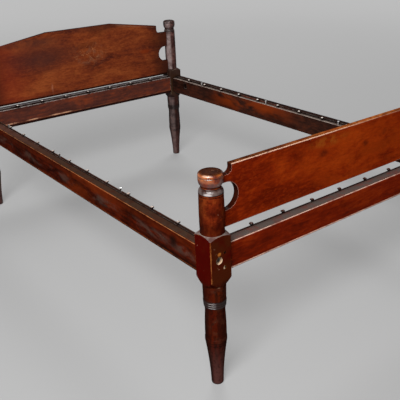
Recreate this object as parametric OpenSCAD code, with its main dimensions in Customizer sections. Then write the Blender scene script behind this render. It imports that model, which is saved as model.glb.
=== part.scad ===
// Low-post rope bed: four turned posts, a headboard and a footboard let into them,
// and four pegged rails. The head and foot rails are pinned into the posts for good,
// and the side rails are drawn up to the posts by bed bolts, so the bed comes apart.
// The origin is on the floor at the middle of the bed: +X right, +Y head, +Z up.

/* [Overall] */
// Length over the post blocks, head to foot
overall_length = 1980; // [1900:10:2100]
// Width over the post blocks
overall_width = 1256; // [1060:4:1500]
// Height of the head posts
head_post_height = 838; // [810:1:900]
// Height of the foot posts
foot_post_height = 745; // [735:1:800]

/* [Post blocks] */
// Side of the square block and of the stock that the post is turned from
block_side = 78; // [77:1:84]
// Height of the block's lower corners above the floor
block_bottom = 404; // [398:1:408]
// Height of the block's upper corners above the floor
block_top = 541; // [530:1:546]
// Drop of the turned shoulder under the block
lower_shoulder = 26; // [14:1:34]
// Rise of the turned shoulder over the block
upper_shoulder = 10; // [6:1:16]
// Flat planed along the block's corners
block_chamfer = 2; // [1:0.5:4]

/* [Post turning] */
// Diameter of the foot post's shaft at its ends
foot_shaft_d = 74; // [68:1:74]
// Diameter of the head post's shaft at its ends
head_shaft_d = 62; // [60:1:74]
// Swelling of the shaft's radius halfway up
shaft_swell = 1; // [0.25:0.25:1]
// Diameter of the foot post's finial at its widest
foot_finial_d = 74.5; // [70:0.5:75]
// Diameter of the head post's finial at its widest
head_finial_d = 68; // [66:0.5:75]
// Height of the finial over its neck
finial_height = 52; // [48:1:58]
// Height of the finial's flattened crown
crown_height = 14; // [10:1:18]
// Height of the straight belt round the finial
finial_belt = 12; // [10:1:16]
// Height of the bead under the finial's belly
neck_bead = 5; // [4:0.5:6]
// Height of the rounded shoulder under the neck
neck_shoulder = 12; // [8:1:14]
// Diameter of the leg under the block
leg_top_d = 74; // [70:0.5:75]
// Diameter of the leg's collar, over the rings
collar_d = 72; // [69:0.5:73]
// Diameter of the leg at its swell
swell_d = 71; // [66:1:76]
// Height of the swell above the floor
swell_height = 174; // [160:1:190]
// Height of the straight band at the swell
swell_band = 10; // [4:1:14]
// Depth of the step over the band at the swell
swell_step = 1; // [0.5:0.5:2]
// Diameter of the leg at its waist, under the rings
waist_d = 64; // [60:1:66]
// Height of the waist above the floor
waist_height = 280; // [266:1:288]
// Height of the cove from the waist to the lowest ring
cove_height = 20; // [14:1:24]
// Diameter of the top ring
ring_d = 74; // [72:0.5:76]
// Step in diameter from one ring to the next one down
ring_step = 1.25; // [1:0.25:2]
// Height of each of the three rings
ring_height = 8; // [6:0.5:9]
// Diameter of the foot, before its edge is rounded
foot_d = 40; // [34:0.5:46]
// Rounding of the foot's edge
foot_round = 5; // [2:0.5:8]
// Depth of a scored line
score_depth = 1; // [0.4:0.1:2]
// Width of a scored line
score_width = 2.4; // [1.6:0.2:3.6]
// Distance between the two lines scored under the swell
leg_score_pitch = 10; // [6:0.5:12]
// Distance between the two lines scored under the neck
neck_score_pitch = 6; // [4:0.5:8]

/* [Rails] */
// Height of the rails
rail_height = 93; // [84:1:98]
// Extra height of the head rail over the other rails
head_rail_rise = 8; // [0:1:12]
// Height of the rails' underside above the floor
rail_bottom = 413; // [410:1:418]
// Thickness of the rails
rail_thickness = 56; // [52:1:57]
// Setback of a side rail's outer face from the block's face
side_setback = 3; // [1:0.5:8]
// Setback of a head or foot rail's outer face from the block's face
end_setback = 20; // [14:0.5:22]
// Depth of the rabbet along the inner top edge
rabbet_depth = 7; // [4:0.5:10]
// Width of the rabbet in the side rails
side_rabbet = 21; // [17:0.5:24]
// Width of the rabbet in the head and foot rails
end_rabbet = 16; // [14:0.5:17]
// Rounding of the rails' upper outer arris
arris_round = 6; // [3:0.5:7]
// Rounding of the rails' lower arrises
lower_round = 3; // [1:0.5:4]
// Rounding of the rabbet's inner arris
ledge_round = 2.5; // [1:0.5:4]

/* [Rope pegs] */
// Number of pegs on each side rail
side_pegs = 11; // [9:1:11]
// Number of pegs on the head rail and on the foot rail
end_pegs = 7; // [6:1:8]
// Diameter of a peg's shank
peg_shank_d = 9; // [7:0.5:10]
// Diameter of a peg's head
peg_head_d = 15; // [13:0.5:17]
// Height of a peg above the rabbet
peg_height = 14; // [12:0.5:20]
// Depth of a peg's hole
peg_depth = 30; // [20:1:36]
// Distance from a side rail's inner face to its pegs
side_peg_inset = 10; // [8:0.5:12]
// Distance from a head or foot rail's inner face to its pegs
end_peg_inset = 8.5; // [8:0.5:10]

/* [Boards] */
// Thickness of the headboard and the footboard
board_thickness = 20; // [16:1:24]
// Rise of the headboard's top over the head posts
headboard_rise = 24; // [10:1:40]
// Height of the headboard's lower edge above the floor
headboard_bottom = 524; // [520:1:540]
// Height of the middle of the headboard's cut-outs
headboard_cutout_z = 649; // [640:1:656]
// Radius of the headboard's cut-outs
headboard_cutout_r = 42; // [34:1:44]
// Radius of the hollow between the headboard's corner and its horn
headboard_hollow = 21; // [12:1:24]
// Width of the headboard's level top
headboard_crest = 384; // [300:2:460]
// Drop of the headboard's top from its crest to its corners
headboard_fall = 46; // [30:1:56]
// Distance from the head post's axis to the headboard's corner
headboard_corner = 98; // [90:1:110]
// Drop from the head post's top to the top of the headboard's horn
head_horn_drop = 65; // [60:1:72]
// Rise of the footboard's top over the foot posts
footboard_rise = 4; // [0:1:20]
// Height of the footboard's lower edge above the floor
footboard_bottom = 556; // [552:1:566]
// Height of the middle of the footboard's cut-outs
footboard_cutout_z = 653; // [644:1:656]
// Radius of the footboard's cut-outs
footboard_cutout_r = 44; // [34:1:46]
// Radius of the hollow between the footboard's corner and its horn
footboard_hollow = 18; // [12:1:20]
// Distance from the foot post's axis to the footboard's corner
footboard_corner = 70; // [66:1:84]
// Drop from the foot post's top to the top of the footboard's horn
foot_horn_drop = 25; // [22:1:28]
// Distance from the post's axis to the centre of a cut-out
cutout_offset = 49; // [46:1:56]
// Distance from the post's axis to the end of a board, inside the post
board_seat = 10; // [6:1:14]

/* [Rail joints] */
// Length of the head and foot rails' tenons
tenon_length = 37; // [34:0.5:38]
// Thickness of the head and foot rails' tenons
tenon_thickness = 22; // [18:1:24]
// Length of the side rails' stub tenons
stub_length = 12; // [8:0.5:14]
// Shoulder over and under every tenon
tenon_shoulder = 4; // [3:1:8]
// Diameter of a drawbore pin
pin_d = 9; // [7:0.5:10]
// Length of a drawbore pin
pin_length = 62; // [56:1:70]
// Depth of a drawbore pin's end below the face of the block
pin_recess = 1.5; // [0:0.5:4]
// Distance from the post's axis to the drawbore pins
pin_offset = 13.5; // [12:0.5:16]
// Distance from the rail's underside to the lower pin
lower_pin = 29; // [20:1:40]
// Distance from the rail's top to the upper pin
upper_pin = 14; // [13:0.5:22]

/* [Bed bolts] */
// Diameter of a bed bolt
bolt_d = 9.5; // [8:0.5:11]
// Height of the bolts above the rails' underside
bolt_height = 58; // [54:0.5:62]
// Diameter of the hole that the bolt's head sinks into
counterbore_d = 23; // [20:0.5:24]
// Depth of the hole that the bolt's head sinks into
counterbore_depth = 16; // [12:0.5:18]
// Diameter of the collar under the bolt's head
bolt_collar_d = 19; // [16:0.5:19.5]
// Thickness of the collar under the bolt's head
bolt_collar_t = 3; // [2:0.5:4]
// Width of the bolt's square head across its flats
bolt_head_af = 11; // [9:0.5:12]
// Height of the bolt's square head
bolt_head_h = 7; // [5:0.5:9]
// Distance from the block's inner face to the nut's pocket
pocket_distance = 113; // [90:1:118]
// Length of the nut's pocket along the rail
pocket_length = 26; // [22:1:30]
// Height of the nut's pocket
pocket_height = 28; // [24:1:32]
// Width of the nut across its flats
nut_af = 22; // [18:0.5:23]
// Thickness of the nut
nut_t = 9; // [7:0.5:12]
// Length of bolt that shows past the nut
bolt_tip = 5; // [2:0.5:8]

/* [Slat pins] */
// Diameter of a slat pin's shank
slat_pin_d = 5; // [4:0.5:6]
// Diameter of a slat pin's head
slat_pin_head_d = 10; // [8:0.5:12]
// Height of a slat pin above the rabbet
slat_pin_height = 17; // [12:1:22]
// Depth of a slat pin in the rail
slat_pin_depth = 20; // [14:1:28]
// Distance from the second peg from the head to the slat pin on its head side
slat_pin_head_step = 25; // [16:1:60]
// Distance from the fifth peg from the head to the slat pin on its foot side
slat_pin_middle_step = 65; // [20:1:90]
// Distance from the third peg from the foot to the slat pin on its head side
slat_pin_foot_step = 51; // [20:1:90]

/* [Fits] */
// Gap round a tenon, a board's end and a pin in its hole
fit_gap = 0.2; // [0.1:0.05:0.4]
// Gap round a bed bolt in its holes
bolt_gap = 0.8; // [0.5:0.1:1.2]
// Gap round a bed bolt in its nut
thread_gap = 0.25; // [0.2:0.05:0.4]

/* [Hidden] */

// A corner is given by its side, LEFT or RIGHT, and its end, FOOT or HEAD.
LEFT = -1;
RIGHT = 1;
FOOT = -1;
HEAD = 1;

$fn = 72;
arc_steps = 8;
small_arc_steps = 4;
cut = 1;

half_block = block_side / 2;
post_x = overall_width / 2 - half_block;
post_y = overall_length / 2 - half_block;
side_rail_length = 2 * (post_y - half_block);
end_rail_length = 2 * (post_x - half_block);

// Rail sections, measured from a post's axis towards the inside of the bed.
side_face = side_setback - half_block;
side_middle = side_face + rail_thickness / 2;
side_inner = side_face + rail_thickness;
end_face = end_setback - half_block;
end_middle = end_face + rail_thickness / 2;
end_inner = end_face + rail_thickness;
ledge_height = rail_height - rabbet_depth;
ledge_z = rail_bottom + ledge_height;
tenon_z = rail_bottom + tenon_shoulder;
tenon_height = rail_height - 2 * tenon_shoulder;
stub_height = ledge_height - 2 * tenon_shoulder;

// Pegs divide the rail's length between the blocks into equal parts.
side_peg_pitch = side_rail_length / (side_pegs + 1);
end_peg_pitch = end_rail_length / (end_pegs + 1);
side_peg_at = side_inner - side_peg_inset;
end_peg_at = end_inner - end_peg_inset;

// A peg's neck is hollowed from just over the rabbet to the underside of its head.
peg_neck_depth = 0.5;
peg_neck_start = 1;
peg_neck_share = 0.45;
peg_rim_share = 0.62;
peg_neck_r = peg_shank_d / 2 - peg_neck_depth;
peg_rim_z = peg_height * peg_rim_share;

// Curves of the leg, and heights of its rings and of the collar over them.
flare_power = 1.7;
waist_power = 3;
cove_power = 2;
cove_depth = 2;
rings = 3;
ring_bulge = 2;
ring_steps = 6;
ring_bottom = waist_height + cove_height;
ring_top = ring_bottom + rings * ring_height;
collar_round = 2;
corner_r = half_block * sqrt(2);

// The neck is a share of the finial, and its bead stands out from it.
neck_share = 0.75;
bead_bulge = 2.5;

// Fullness of a curve: 1 is an ellipse, less is squarer and more is straighter.
crown_fullness = 0.7;
belly_fullness = 1.2;

// Straight lengths of the post between a scored line and the turning next to it.
line_gap = 4;
neck_line_gap = 3.5;
belt_line_gap = 2;

// Bed bolts, along the bed from the outer end of the block to the nut.
bolt_z = rail_bottom + bolt_height;
bolt_seat = counterbore_depth - half_block;
pocket_start = half_block + pocket_distance;
bolt_end = pocket_start + nut_t + bolt_tip;
bolt_hole_d = bolt_d + 2 * bolt_gap;
pocket_gap = 1;
pocket_back = nut_af / 2 + pocket_gap;

// Drawbore pins.
pin_z = [rail_bottom + lower_pin, rail_bottom + rail_height - upper_pin];
pin_taper = 1.5;
pin_lead = 5;

// Slat pins stand in line with the pegs, each at its distance from one of them:
// two pegs are counted from the head and one from the foot.
head_pin_peg = 2;
middle_pin_peg = 5;
foot_pin_peg = 3;
slat_pin_y = [
    side_rail_length / 2 - head_pin_peg * side_peg_pitch + slat_pin_head_step,
    side_rail_length / 2 - middle_pin_peg * side_peg_pitch - slat_pin_middle_step,
    foot_pin_peg * side_peg_pitch - side_rail_length / 2 + slat_pin_foot_step
];
slat_pin_rim = 2;

// Board outlines.
headboard_top = head_post_height + headboard_rise;
head_horn_top = head_post_height - head_horn_drop;
footboard_top = foot_post_height + footboard_rise;
foot_horn_top = foot_post_height - foot_horn_drop;

dark_wood = [0.24, 0.10, 0.06];
red_wood = [0.40, 0.15, 0.08];
orange_wood = [0.46, 0.19, 0.08];
rail_wood = [0.30, 0.12, 0.07];
peg_wood = [0.36, 0.20, 0.13];
iron = [0.25, 0.24, 0.23];
bright_steel = [0.75, 0.75, 0.74];

// ---- Helpers -------------------------------------------------------------

// Points of an elliptical arc about (cx, cz), from angle a0 to angle a1.
function arc(cx, cz, rx, rz, a0, a1, steps = arc_steps) = [
    for (i = [0:steps])
        let (a = a0 + (a1 - a0) * i / steps)
        [cx + rx * cos(a), cz + rz * sin(a)]
];

// Points of a curve about (cx, cz) that is fuller or straighter than an ellipse,
// from angle a0 to angle a1, both from 0 to 90.
function full_arc(cx, cz, rx, rz, a0, a1, fullness) = [
    for (i = [0:arc_steps])
        let (a = a0 + (a1 - a0) * i / arc_steps)
        [cx + rx * pow(cos(a), fullness), cz + rz * pow(sin(a), fullness)]
];

// A scored line: a narrow V cut into a turned surface.
function score(r, z) = [[r, z - score_width / 2], [r - score_depth, z], [r, z + score_width / 2]];

// Places children at a corner, with +X and +Y pointing into the bed from the post's axis.
module at_corner(side, end) {
    translate([side * post_x, end * post_y, 0])
        mirror([side == RIGHT ? 1 : 0, 0, 0])
            mirror([0, end == HEAD ? 1 : 0, 0])
                children();
}

// Places children on the left or the right of the bed.
module on_side(side) {
    mirror([side == RIGHT ? 1 : 0, 0, 0])
        children();
}

// Places children at the foot or the head of the bed.
module on_end(end) {
    mirror([0, end == HEAD ? 1 : 0, 0])
        children();
}

// ---- Posts ---------------------------------------------------------------

// The foot flares up to the swell, with a pair of scored lines under it.
function flare(z) = (foot_d + (swell_d - foot_d) * pow(z / swell_height, flare_power)) / 2;
upper_line = swell_height - line_gap;
lower_line = upper_line - leg_score_pitch;
flare_top = lower_line - score_width;

function foot_profile() = concat(
    [[0, 0]],
    arc(flare(foot_round) - foot_round, foot_round, foot_round, foot_round, -90, 0, small_arc_steps),
    [for (i = [1:arc_steps]) let (z = foot_round + (flare_top - foot_round) * i / arc_steps) [flare(z), z]],
    score(flare(lower_line), lower_line),
    score(flare(upper_line), upper_line)
);

// The leg steps in over the band at its swell, then narrows to its waist.
function swell_profile() =
    let (r = swell_d / 2 - swell_step, band_z = swell_height + swell_band, leg_z = band_z + swell_step)
    concat(
        [[swell_d / 2, swell_height], [swell_d / 2, band_z]],
        [
            for (i = [0:arc_steps])
                let (s = i / arc_steps)
                [r - (r - waist_d / 2) * pow(s, waist_power), leg_z + (waist_height - leg_z) * s]
        ]
    );

// The cove swings out from the waist, short of the lowest ring.
function cove_profile() = [
    for (i = [1:small_arc_steps - 1])
        let (s = i / small_arc_steps)
        [waist_d / 2 + cove_depth * pow(s, cove_power), waist_height + cove_height * s]
];

// One of the rings, counted from the lowest, which is the narrowest.
function ring(k) =
    let (r = (ring_d - (rings - k) * ring_step) / 2, middle_z = ring_bottom + (k - 1 / 2) * ring_height)
    arc(r - ring_bulge, middle_z, ring_bulge, ring_height / 2, -90, 90, ring_steps);

function ring_profile() = [for (k = [1:rings]) each ring(k)];

// The collar, and the block's zone, left wide so that the square stock shows there.
function block_profile() =
    let (x = collar_d / 2 - collar_round, z = ring_top + collar_round)
    concat(
        arc(x, z, collar_round, collar_round, -90, 0, small_arc_steps),
        [[leg_top_d / 2, block_bottom - lower_shoulder], [corner_r, block_bottom], [corner_r, block_top]]
    );

// The shaft swells a little halfway up. A pair of lines is scored under its rounded shoulder.
function shaft_profile(height, shaft_d, neck_r) =
    let (
        r = shaft_d / 2,
        shoulder_z = height - finial_height - neck_shoulder,
        upper_line = shoulder_z - neck_line_gap,
        lower_line = upper_line - neck_score_pitch,
        bottom = block_top + upper_shoulder,
        rise = lower_line - score_width - bottom
    )
    concat(
        [
            for (i = [0:arc_steps])
                let (s = i / arc_steps)
                [r + shaft_swell * sin(180 * s), bottom + rise * s]
        ],
        score(r, lower_line),
        score(r, upper_line),
        arc(neck_r, shoulder_z, r - neck_r, neck_shoulder, 0, 90)
    );

// The finial: a bead, a belly, a belt with a line scored round it and a flattened crown.
function finial_profile(height, finial_d, neck_r) =
    let (
        r = finial_d / 2,
        crown_z = height - crown_height,
        belt_z = crown_z - finial_belt,
        bead_z = height - finial_height + neck_bead / 2,
        belly = belt_z - bead_z - neck_bead / 2
    )
    concat(
        arc(neck_r, bead_z, bead_bulge, neck_bead / 2, -90, 90),
        full_arc(neck_r, belt_z, r - neck_r, -belly, 90, 0, belly_fullness),
        score(r, crown_z - belt_line_gap),
        full_arc(0, crown_z, r, crown_height, 0, 90, crown_fullness)
    );

module turned_post(height, shaft_d, finial_d) {
    neck_r = finial_d / 2 * neck_share;
    intersection() {
        rotate_extrude()
            polygon(concat(
                foot_profile(),
                swell_profile(),
                cove_profile(),
                ring_profile(),
                block_profile(),
                shaft_profile(height, shaft_d, neck_r),
                finial_profile(height, finial_d, neck_r)
            ));
        linear_extrude(height)
            chamfered_square(block_side, block_chamfer);
    }
}

module chamfered_square(side, chamfer) {
    h = side / 2;
    c = h - chamfer;
    polygon([[h, -c], [h, c], [c, h], [-c, h], [-h, c], [-h, -c], [-c, -h], [c, -h]]);
}

// The part of a board that sits in the post, with its gap.
module board_mortise(low, high) {
    translate([board_seat - fit_gap, -board_thickness / 2 - fit_gap, low])
        cube([block_side, board_thickness + 2 * fit_gap, high - low + fit_gap]);
}

module end_tenon_mortise() {
    translate([half_block - tenon_length - fit_gap, end_middle - tenon_thickness / 2 - fit_gap, tenon_z])
        cube([tenon_length + fit_gap + cut, tenon_thickness + 2 * fit_gap, tenon_height + fit_gap]);
}

module stub_mortise() {
    translate([side_middle - tenon_thickness / 2 - fit_gap, half_block - stub_length - fit_gap, tenon_z])
        cube([tenon_thickness + 2 * fit_gap, stub_length + fit_gap + cut, stub_height + fit_gap]);
}

// A round hole along the bed, from y0 to y1.
module hole_along(x, z, d, y0, y1) {
    translate([x, y0, z])
        rotate([-90, 0, 0])
            cylinder(d = d, h = y1 - y0);
}

module pin_holes() {
    pin_end = pin_recess - half_block + pin_length;
    for (z = pin_z)
        hole_along(pin_offset, z, pin_d + 2 * fit_gap, -half_block - cut, pin_end);
}

module bolt_holes() {
    hole_along(side_middle, bolt_z, counterbore_d, -half_block - cut, bolt_seat);
    hole_along(side_middle, bolt_z, bolt_hole_d, bolt_seat - cut, half_block + cut);
}

module post(height, shaft_d, finial_d, board_low, cutout_z, cutout_r, horn_top) {
    difference() {
        turned_post(height, shaft_d, finial_d);
        board_mortise(board_low, cutout_z - cutout_r);
        board_mortise(cutout_z + cutout_r, horn_top);
        end_tenon_mortise();
        stub_mortise();
        pin_holes();
        bolt_holes();
    }
}

module head_post(side) {
    color(dark_wood)
        at_corner(side, HEAD)
            post(head_post_height, head_shaft_d, head_finial_d, headboard_bottom,
                headboard_cutout_z, headboard_cutout_r, head_horn_top);
}

module foot_post(side) {
    color(dark_wood)
        at_corner(side, FOOT)
            post(foot_post_height, foot_shaft_d, foot_finial_d, footboard_bottom,
                footboard_cutout_z, footboard_cutout_r, foot_horn_top);
}

// ---- Boards --------------------------------------------------------------

// The right half of a board's outline, from its lower corner to the corner of its top.
// It is left square where the hollow between that corner and the horn is cut.
function half_board(bottom, horn_top, hollow, corner_x, corner_z) = [
    [post_x - board_seat, bottom],
    [post_x - board_seat, horn_top],
    [corner_x + hollow, horn_top],
    [corner_x + hollow, horn_top + hollow],
    [corner_x, horn_top + hollow],
    [corner_x, corner_z]
];

function mirrored(points) = [for (i = [len(points) - 1:-1:0]) [-points[i][0], points[i][1]]];

// A round cut-out near the board's end, opened out square to the post.
module cutout(z, r) {
    translate([post_x - cutout_offset, z])
        circle(r = r);
    translate([post_x - cutout_offset, z - r])
        square([cutout_offset, 2 * r]);
}

// A board with a cut-out and a quarter-round hollow at each end.
module board(half, horn_top, hollow, corner_x, cutout_z, cutout_r) {
    translate([0, board_thickness / 2, 0])
        rotate([90, 0, 0])
            linear_extrude(board_thickness)
                difference() {
                    polygon(concat(half, mirrored(half)));
                    for (side = [LEFT, RIGHT])
                        mirror([side == LEFT ? 1 : 0, 0]) {
                            cutout(cutout_z, cutout_r);
                            translate([corner_x + hollow, horn_top + hollow])
                                circle(r = hollow);
                        }
                }
}

module headboard() {
    corner_x = post_x - headboard_corner;
    corner_z = headboard_top - headboard_fall;
    half = concat(
        half_board(headboard_bottom, head_horn_top, headboard_hollow, corner_x, corner_z),
        [[headboard_crest / 2, headboard_top]]
    );
    color(red_wood)
        translate([0, post_y, 0])
            board(half, head_horn_top, headboard_hollow, corner_x, headboard_cutout_z, headboard_cutout_r);
}

module footboard() {
    corner_x = post_x - footboard_corner;
    half = half_board(footboard_bottom, foot_horn_top, footboard_hollow, corner_x, footboard_top);
    color(orange_wood)
        translate([0, -post_y, 0])
            board(half, foot_horn_top, footboard_hollow, corner_x, footboard_cutout_z, footboard_cutout_r);
}

// ---- Rails ---------------------------------------------------------------

// How much higher a head or foot rail's top and ledge are than a side rail's.
function end_rise(end) = end == HEAD ? head_rail_rise : 0;

// A rail's section: outer face at 0, inner face at rail_thickness, rabbet at the inner top.
module rail_section(rabbet, rise = 0) {
    t = rail_thickness;
    low = lower_round;
    ledge = ledge_round;
    high = arris_round;
    ledge_top = ledge_height + rise;
    top = rail_height + rise;
    polygon(concat(
        arc(low, low, low, low, 180, 270, small_arc_steps),
        arc(t - low, low, low, low, 270, 360, small_arc_steps),
        arc(t - ledge, ledge_top - ledge, ledge, ledge, 0, 90, small_arc_steps),
        [[t - rabbet, ledge_top], [t - rabbet, top]],
        arc(high, top - high, high, high, 90, 180, arc_steps)
    ));
}

module side_rail_blank() {
    translate([side_face - post_x, side_rail_length / 2, rail_bottom])
        rotate([90, 0, 0])
            linear_extrude(side_rail_length)
                rail_section(side_rabbet);
    translate([side_middle - post_x - tenon_thickness / 2, -side_rail_length / 2 - stub_length, tenon_z])
        cube([tenon_thickness, side_rail_length + 2 * stub_length, stub_height]);
}

module end_rail_blank(end) {
    translate([-end_rail_length / 2, end_face - post_y, rail_bottom])
        rotate([90, 0, 90])
            linear_extrude(end_rail_length)
                rail_section(end_rabbet, end_rise(end));
    translate([-end_rail_length / 2 - tenon_length, end_middle - post_y - tenon_thickness / 2, tenon_z])
        cube([end_rail_length + 2 * tenon_length, tenon_thickness, tenon_height]);
}

// The pocket that the bolt's nut drops into, cut from the rail's inner face.
module nut_pocket() {
    translate([side_middle - pocket_back, pocket_start, bolt_z - pocket_height / 2])
        cube([rail_thickness, pocket_length, pocket_height]);
}

// A blind hole for a peg or a slat pin, in the floor of the rabbet.
module ledge_hole(d, depth) {
    translate([0, 0, ledge_z - depth])
        cylinder(d = d + 2 * fit_gap, h = depth + cut);
}

module at_side_pegs() {
    for (i = [1:side_pegs])
        translate([side_peg_at - post_x, i * side_peg_pitch - side_rail_length / 2, 0])
            children();
}

module at_end_pegs(end) {
    for (i = [1:end_pegs])
        translate([i * end_peg_pitch - end_rail_length / 2, end_peg_at - post_y, end_rise(end)])
            children();
}

module at_slat_pins() {
    for (y = slat_pin_y)
        translate([side_peg_at - post_x, y, 0])
            children();
}

module side_rail(side) {
    color(rail_wood)
        on_side(side)
            difference() {
                side_rail_blank();
                at_side_pegs()
                    ledge_hole(peg_shank_d, peg_depth);
                at_slat_pins()
                    ledge_hole(slat_pin_d, slat_pin_depth);
                for (end = [FOOT, HEAD])
                    at_corner(LEFT, end) {
                        nut_pocket();
                        hole_along(side_middle, bolt_z, bolt_hole_d, 0, pocket_start + cut);
                    }
            }
}

module end_rail(end) {
    color(rail_wood)
        on_end(end)
            difference() {
                end_rail_blank(end);
                at_end_pegs(end)
                    ledge_hole(peg_shank_d, peg_depth);
                for (side = [LEFT, RIGHT])
                    at_corner(side, FOOT)
                        pin_holes();
            }
}

// ---- Pegs and pins -------------------------------------------------------

// A turned rope peg: a plain shank, a hollowed neck and a domed head.
module rope_peg() {
    translate([0, 0, ledge_z])
        rotate_extrude()
            polygon(concat(
                [[0, -peg_depth], [peg_shank_d / 2, -peg_depth], [peg_shank_d / 2, 0]],
                [[peg_neck_r, peg_neck_start], [peg_neck_r, peg_height * peg_neck_share]],
                arc(0, peg_rim_z, peg_head_d / 2, peg_height - peg_rim_z, 0, 90)
            ));
}

// A round pin with a tapered lead, driven along the bed.
module drawbore_pin(z) {
    translate([pin_offset, pin_recess - half_block, z])
        rotate([-90, 0, 0])
            rotate_extrude()
                polygon([
                    [0, 0], [pin_d / 2, 0], [pin_d / 2, pin_length - pin_lead],
                    [pin_d / 2 - pin_taper, pin_length], [0, pin_length]
                ]);
}

// A steel pin with a plain shank that flares to its head.
module slat_pin() {
    translate([0, 0, ledge_z])
        rotate_extrude()
            polygon([
                [0, -slat_pin_depth], [slat_pin_d / 2, -slat_pin_depth],
                [slat_pin_d / 2, slat_pin_height / 2],
                [slat_pin_head_d / 2, slat_pin_height - slat_pin_rim],
                [slat_pin_head_d / 2, slat_pin_height], [0, slat_pin_height]
            ]);
}

module side_rail_pegs(side) {
    color(peg_wood)
        on_side(side)
            at_side_pegs()
                rope_peg();
}

module end_rail_pegs(end) {
    color(peg_wood)
        on_end(end)
            at_end_pegs(end)
                rope_peg();
}

module rail_pins(side, end) {
    color(peg_wood)
        at_corner(side, end)
            for (z = pin_z)
                drawbore_pin(z);
}

module slat_pins(side) {
    color(bright_steel)
        on_side(side)
            at_slat_pins()
                slat_pin();
}

// ---- Bed bolts -----------------------------------------------------------

// A square-headed bolt whose collar seats on the floor of its hole in the post.
module bed_bolt(side, end) {
    color(iron)
        at_corner(side, end) {
            hole_along(side_middle, bolt_z, bolt_d, bolt_seat - bolt_collar_t, bolt_end);
            hole_along(side_middle, bolt_z, bolt_collar_d, bolt_seat - bolt_collar_t, bolt_seat);
            translate([side_middle, bolt_seat - bolt_collar_t - bolt_head_h / 2, bolt_z])
                cube([bolt_head_af, bolt_head_h, bolt_head_af], center = true);
        }
}

// A square nut that bears on the end of its pocket.
module bolt_nut(side, end) {
    color(iron)
        at_corner(side, end)
            difference() {
                translate([side_middle - nut_af / 2, pocket_start, bolt_z - nut_af / 2])
                    cube([nut_af, nut_t, nut_af]);
                hole_along(side_middle, bolt_z, bolt_d + 2 * thread_gap,
                    pocket_start - cut, pocket_start + nut_t + cut);
            }
}

// ---- Nodes ---------------------------------------------------------------

head_post(LEFT);  // head_post_left
head_post(RIGHT);  // head_post_right
foot_post(LEFT);  // foot_post_left
foot_post(RIGHT);  // foot_post_right
headboard();
footboard();
end_rail(HEAD);  // head_rail
end_rail(FOOT);  // foot_rail
side_rail(LEFT);  // side_rail_left
side_rail(RIGHT);  // side_rail_right
end_rail_pegs(HEAD);  // head_rail_pegs
end_rail_pegs(FOOT);  // foot_rail_pegs
side_rail_pegs(LEFT);  // side_rail_left_pegs
side_rail_pegs(RIGHT);  // side_rail_right_pegs
bed_bolt(LEFT, HEAD);  // bed_bolt_head_left
bed_bolt(RIGHT, HEAD);  // bed_bolt_head_right
bed_bolt(LEFT, FOOT);  // bed_bolt_foot_left
bed_bolt(RIGHT, FOOT);  // bed_bolt_foot_right
bolt_nut(LEFT, HEAD);  // bolt_nut_head_left
bolt_nut(RIGHT, HEAD);  // bolt_nut_head_right
bolt_nut(LEFT, FOOT);  // bolt_nut_foot_left
bolt_nut(RIGHT, FOOT);  // bolt_nut_foot_right
rail_pins(LEFT, HEAD);  // rail_pins_head_left
rail_pins(RIGHT, HEAD);  // rail_pins_head_right
rail_pins(LEFT, FOOT);  // rail_pins_foot_left
rail_pins(RIGHT, FOOT);  // rail_pins_foot_right
slat_pins(LEFT);  // slat_pins_left
slat_pins(RIGHT);  // slat_pins_right
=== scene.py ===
"""The looks of the rope bed: old varnished wood, forged iron and bright steel, on a pale studio floor.

Lengths are in metres, in the frame of the CAD model: x runs across the bed, y towards its head, and z up
from the floor.
"""

import math
from collections import namedtuple

import bpy
from mathutils import Matrix, Vector


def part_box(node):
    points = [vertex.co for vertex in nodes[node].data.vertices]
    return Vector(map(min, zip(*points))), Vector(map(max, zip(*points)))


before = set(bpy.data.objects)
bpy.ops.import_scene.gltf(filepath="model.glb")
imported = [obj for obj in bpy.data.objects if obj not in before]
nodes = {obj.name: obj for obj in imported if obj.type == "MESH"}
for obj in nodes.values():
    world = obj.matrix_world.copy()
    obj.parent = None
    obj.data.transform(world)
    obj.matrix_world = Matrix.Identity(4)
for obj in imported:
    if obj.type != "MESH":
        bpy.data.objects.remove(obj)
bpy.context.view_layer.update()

# ---- Places ------------------------------------------------------------------

SIDES = ("left", "right")
ENDS = ("foot", "head")
CORNERS = [f"{end}_{side}" for end in ENDS for side in SIDES]

# Sizes that part.scad gives and the frame doesn't.
BLOCK_UNDER_RAIL = 0.009
BLOCK_OVER_RAIL = 0.035
SIDE_REBATE = 0.021
END_REBATE = 0.016
REBATE_DEPTH = 0.007
END_PEGS = 7
HALF_BOARD = 0.01
BOLT_HOLE_RADIUS = 0.0115
BOLT_HOLE_DEPTH = 0.016
PIN_RADIUS = 0.0045

# The turnings of a post's leg, up from the floor.
SWELL_LINES = (0.160, 0.170)
RINGS_LOW, RINGS_HIGH = 0.299, 0.3255
RING_CRESTS = (0.304, 0.312, 0.320)

# The turnings of a post's finial, down from its top.
CROWN_LINE = 0.016
SHOULDER_LOW, SHOULDER_HIGH = 0.066, 0.050
NECK_LINES = (0.0675, 0.0735)


def middle(node):
    """The middle of a CAD node's box."""
    low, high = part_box(node)
    return (low + high) / 2


def top_of(node):
    """The height of a CAD node's top."""
    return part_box(node)[1].z


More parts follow.
